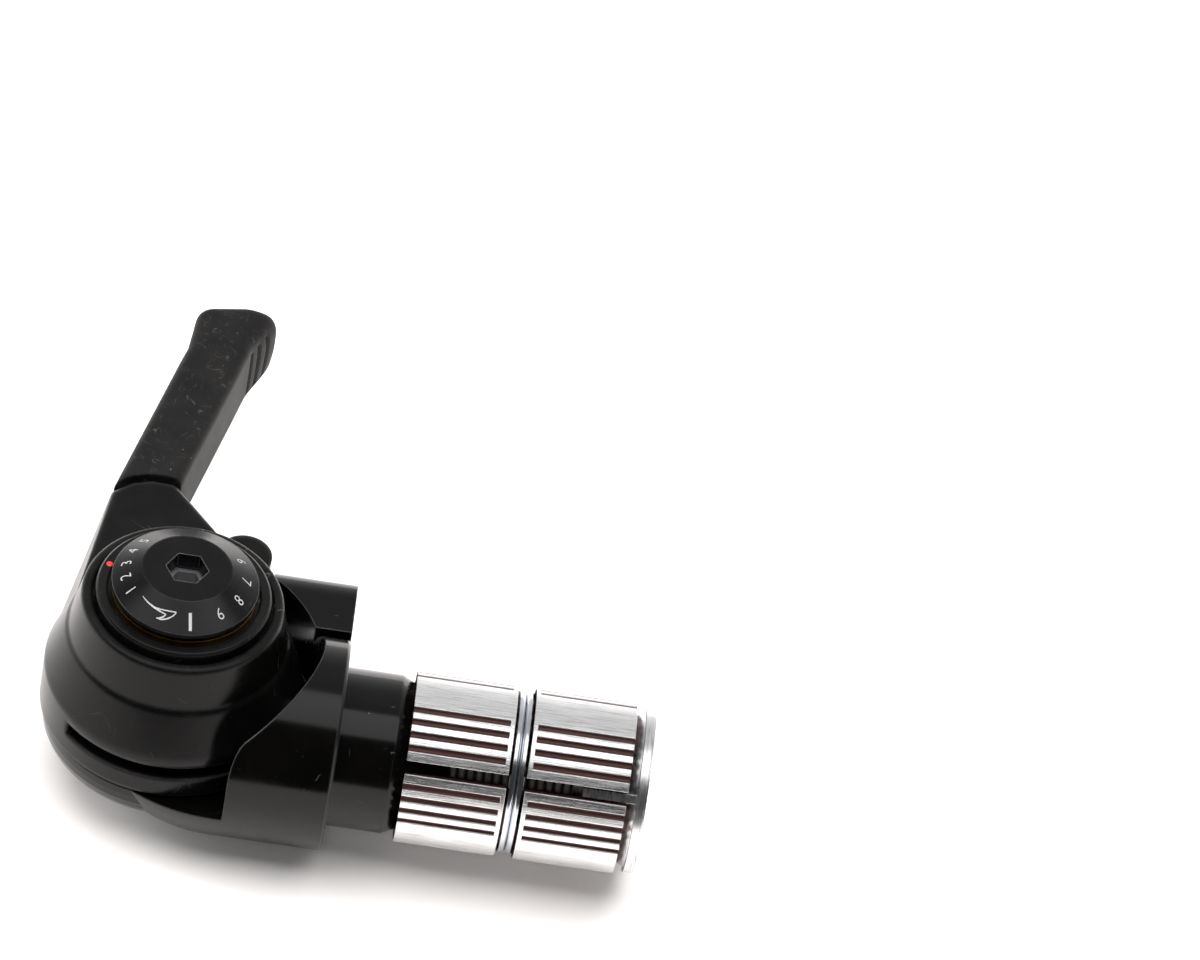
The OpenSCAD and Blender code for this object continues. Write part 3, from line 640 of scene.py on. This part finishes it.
def glyph(text, look):
    # Outline of a plain number from the built-in font, as flat triangles
    curve = bpy.data.curves.new("number", "FONT")
    curve.body = text
    curve.size = look["numberHeight"] / look["capShare"]
    curve.offset = look["thin"] * look["numberHeight"]
    curve.align_x = "CENTER"
    curve.resolution_u = 4
    holder = bpy.data.objects.new("number", curve)
    mesh = holder.to_mesh()
    places = np.empty(len(mesh.vertices) * 3, np.float32)
    mesh.vertices.foreach_get("co", places)
    faces = [tuple(polygon.vertices) for polygon in mesh.polygons]
    holder.to_mesh_clear()
    bpy.data.objects.remove(holder)
    bpy.data.curves.remove(curve)
    return places.astype(float).reshape(-1, 3)[:, :2], faces


def makePrint(look):
    # Ribbons for the tick and the arrow, and the numbers' outlines wrapped round the post at their radius
    verts, faces = [], []

    def take(points, polygons):
        offset = sum(len(group) for group in verts)
        verts.append(onCone(points))
        faces.extend([tuple(index + offset for index in polygon) for polygon in polygons])

    azimuth, inner, outer, wide = look["tick"]
    line = polar(azimuth, np.linspace(inner, outer, look["tickSteps"]))
    take(*strokeAlong(line, np.full(len(line), wide)))
    along = np.linspace(0, 1, look["arrowSteps"])
    for stroke in look["arrow"]:
        x, y, widths = np.array(stroke).T
        known = np.linspace(0, 1, len(x))
        curves = [np.polynomial.Polynomial.fit(known, axis, len(x) - 1)(along) for axis in (x, y)]
        take(*strokeAlong(np.stack(curves, -1), look["arrowWidth"] * np.interp(along, known, widths)))
    for texts, start, stop, foot in look["numbers"]:
        for text, centre in zip(texts, np.linspace(start, stop, len(texts))):
            flat, polygons = glyph(text, look)
            turn = np.degrees(flat[:, 0] / (foot + look["middle"]))
            take(polar(centre - turn, foot + flat[:, 1]), polygons)
    return np.concatenate(verts), faces


inkWear = {"grain": 2.0, "tone": 0.72, "from": 0.35, "to": 0.55}


def makePrintInk(name, colour, rough):
    # Ink that is a little thinner in the pits of the grain
    material, tree, shader = newMaterial(name)
    grain = useGroup(tree, surfaceGrain, {"Size": inkWear["grain"]}, objectSpace(tree))
    worn = tuple(inkWear["tone"] * channel for channel in colour)
    tone = rampOf(tree, grain["Height"], [(inkWear["from"], worn), (inkWear["to"], colour)])
    tree.links.new(tone, shader.inputs["Base Color"])
    shader.inputs["Roughness"].default_value = rough
    return material


printInk = makePrintInk("print ink", dialPrint["ink"], dialPrint["inkRough"])
printPiece = addPiece("dial_print", *makePrint(dialPrint), printInk, "dial")

dot = {
    "azimuth": 164.0, "radius": 9.05, "half": 0.42, "crown": 0.12, "skirt": -0.3, "sink": 0.02,
    "rows": (1, 0.1, 6), "columns": 32, "ink": (0.62, 0.02, 0.02), "inkRough": 0.3}


def makeDot(look):
    # Low dome whose height falls with the square of the distance from its middle
    angle = np.arange(look["columns"]) * 2 * np.pi / look["columns"]
    share = np.linspace(*look["rows"])
    height = np.append(look["skirt"], 1 - share * share)[:, None]
    reach = look["half"] * np.append(1.0, share)[:, None]
    x, y = polar(look["azimuth"], look["radius"])
    points = [x + reach * np.cos(angle), y + reach * np.sin(angle), look["crown"] * height + 0 * angle]
    place = np.array([pivot.x, pivot.y, ringTop - look["sink"] * mm])
    return closeSurface(np.stack(points, -1) * mm + place)


redInk = makePrintInk("red ink", dot["ink"], dot["inkRough"])
dotPiece = addPiece("marker_dot", *makeDot(dot), redInk, "mount")
print("print made")


# Camera, floor and light

photoView = {
    "place": (-0.0168, -0.6249, 0.6622),    # metres, fitted to the photo's ellipses
    "right": (0.988, 0.071, 0.137),
    "forward": (0.046, 0.712, -0.700),
    "lens": 241.4, "sensor": 36.0, "near": 0.01}


def addCamera(view):
    forward = Vector(view["forward"]).normalized()
    up = Vector(view["right"]).cross(forward).normalized()
    right = forward.cross(up)
    camera = bpy.data.objects.new("photo camera", bpy.data.cameras.new("photo camera"))
    scene.collection.objects.link(camera)
    turned = Matrix((right, up, -forward)).transposed()
    camera.matrix_world = Matrix.Translation(view["place"]) @ turned.to_4x4()
    camera.data.lens = view["lens"]
    camera.data.sensor_width = view["sensor"]
    camera.data.clip_start = view["near"]
    scene.camera = camera


studio = {
    "floorBack": 1.4, "floorFront": -0.13, "floorHalf": 1.4, "floorGap": 0.0002,
    "floorShown": 0.93, "floorTint": (1.0, 0.965, 0.945), "floorGlow": 0.03, "glowFrom": (0.14, 0.4),
    "floorBounceShade": (0.18, 0.62), "bounceFrom": (-0.016, 0.022),    # painted shade for bounced light: tone at the left and right, and where
    "floorMirrored": 1.0, "skyMirrored": 0.0,    # share of the white background that mirrors show
    "keyPlace": (0.0, 0.02, 0.8), "keySize": (1.1, 0.8), "keyPower": 13.5,
    "cardPlace": (0.0, -0.08, 0.6), "cardSize": (1.2, 0.42), "cardShine": 1.9,
    "fillPlace": (-0.03, -0.45, 0.46), "fillSize": (0.12, 0.12), "fillPower": 0.4,
    "sidePlace": (-0.75, 0.2, 0.3), "sideSize": (0.4, 0.35), "sidePower": 4.0,
    "skyShown": 1.0, "skyFront": 0.04, "skyBack": 0.55, "skyLow": 1.0,
    "skyTurn": (1.25, 0.4), "skyFall": (-1.6, 1.0)}    # slope and level, along Y and down Z


def backgroundRays(tree, mirrored):
    # Rays that find the white background: the camera's, the transmitted, and a share of the mirrored
    path = addNode(tree, "ShaderNodeLightPath")
    clear = maths(tree, "ADD", path.outputs["Is Camera Ray"], path.outputs["Is Transmission Ray"])
    return maths(tree, "MULTIPLY_ADD", path.outputs["Is Glossy Ray"], mirrored, clear, clamp=True)


def addFloor(look):
    # White to the camera and in mirrors, and glowing far out. Bounced light finds it painted grey, darker at
    # the left, as painted shade
    front, back, half = look["floorFront"], look["floorBack"], look["floorHalf"]
    z = cadBox[0][2] - look["floorGap"]
    mesh = bpy.data.meshes.new("floor")
    corners = [(-half, front, z), (half, front, z), (half, back, z), (-half, back, z)]
    mesh.from_pydata(corners, [], [(0, 1, 2, 3)])
    floor = bpy.data.objects.new("floor", mesh)
    scene.collection.objects.link(floor)
    material, tree, shader = newMaterial("floor")
    seen = backgroundRays(tree, look["floorMirrored"])
    place = objectSpace(tree)
    parts = addNode(tree, "ShaderNodeSeparateXYZ")
    tree.links.new(place, parts.inputs["Vector"])
    # Painted shade: the floor is grey to bounced light, darker at the left than at the right
    (low, high), (left, right) = look["floorBounceShade"], look["bounceFrom"]
    past = maths(tree, "SUBTRACT", parts.outputs["X"], left)
    across = maths(tree, "DIVIDE", past, right - left, clamp=True)
    bounceShade = maths(tree, "MULTIPLY_ADD", across, high - low, low)
    shown = maths(tree, "MULTIPLY", seen, maths(tree, "SUBTRACT", look["floorShown"], bounceShade))
    shade = mixColours(tree, 1.0, maths(tree, "ADD", shown, bounceShade), look["floorTint"], blend="MULTIPLY")
    tree.links.new(shade, shader.inputs["Base Color"])
    shader.inputs["Roughness"].default_value = 0.9
    shader.inputs["Specular IOR Level"].default_value = 0
    shader.inputs["Emission Color"].default_value = (1, 1, 1, 1)
    reach = addNode(tree, "ShaderNodeVectorMath", operation="LENGTH")
    tree.links.new(place, reach.inputs[0])
    near, far = look["glowFrom"]
    past = maths(tree, "SUBTRACT", reach.outputs["Value"], near)
    glow = maths(tree, "ADD", maths(tree, "DIVIDE", past, far - near, clamp=True), look["floorGlow"])
    tree.links.new(maths(tree, "MULTIPLY", seen, glow), shader.inputs["Emission Strength"])
    mesh.materials.append(material)


def addLight(name, place, target, size, power, diffuse=True, glossy=True):
    lamp = bpy.data.lights.new(name, "AREA")
    lamp.shape = "RECTANGLE"
    lamp.size, lamp.size_y = size
    lamp.energy = power
    light = bpy.data.objects.new(name, lamp)
    scene.collection.objects.link(light)
    light.location = place
    aim = Vector(target) - Vector(place)
    light.rotation_euler = aim.to_track_quat("-Z", "Y").to_euler()
    light.visible_diffuse = diffuse
    light.visible_glossy = glossy
    light.visible_camera = False


def addCard(name, place, target, size, shine):
    # Softbox that is only mirrored; a lamp's radiance is its power over pi times its area
    addLight(name, place, target, size, shine * math.pi * size[0] * size[1], diffuse=False)


def addWorld(look):
    # Camera rays see plain white, the rest a sky that is dim in front, lighter behind, lightest low down
    world = bpy.data.worlds.new("studio")
    scene.world = world
    world.use_nodes = True
    tree = world.node_tree
    background = tree.nodes["Background"]
    direction = addNode(tree, "ShaderNodeTexCoord")
    parts = addNode(tree, "ShaderNodeSeparateXYZ")
    tree.links.new(direction.outputs["Generated"], parts.inputs["Vector"])
    front, rise = look["skyFront"], look["skyLow"] - look["skyBack"]
    behind = maths(tree, "MULTIPLY_ADD", parts.outputs["Y"], *look["skyTurn"], clamp=True)
    lowness = maths(tree, "MULTIPLY_ADD", parts.outputs["Z"], *look["skyFall"], clamp=True)
    back = maths(tree, "MULTIPLY_ADD", lowness, rise, look["skyBack"])
    sky = maths(tree, "MULTIPLY_ADD", behind, maths(tree, "SUBTRACT", back, front), front)
    seen = backgroundRays(tree, look["skyMirrored"])
    rest = maths(tree, "MULTIPLY", sky, maths(tree, "SUBTRACT", 1, seen))
    tree.links.new(maths(tree, "MULTIPLY_ADD", seen, look["skyShown"], rest), background.inputs["Strength"])
    background.inputs["Color"].default_value = (1, 1, 1, 1)


addCamera(photoView)
addFloor(studio)
addWorld(studio)
for name, key in (("key light", "key"), ("front fill", "fill"), ("side fill", "side")):
    place, size, power = (studio[key + part] for part in ("Place", "Size", "Power"))
    addLight(name, place, (0, 0, 0), size, power, glossy=False)
addCard("overhead card", studio["cardPlace"], (0, -0.08, 0), studio["cardSize"], studio["cardShine"])
scene.view_settings.view_transform = "Standard"
print("stage set")
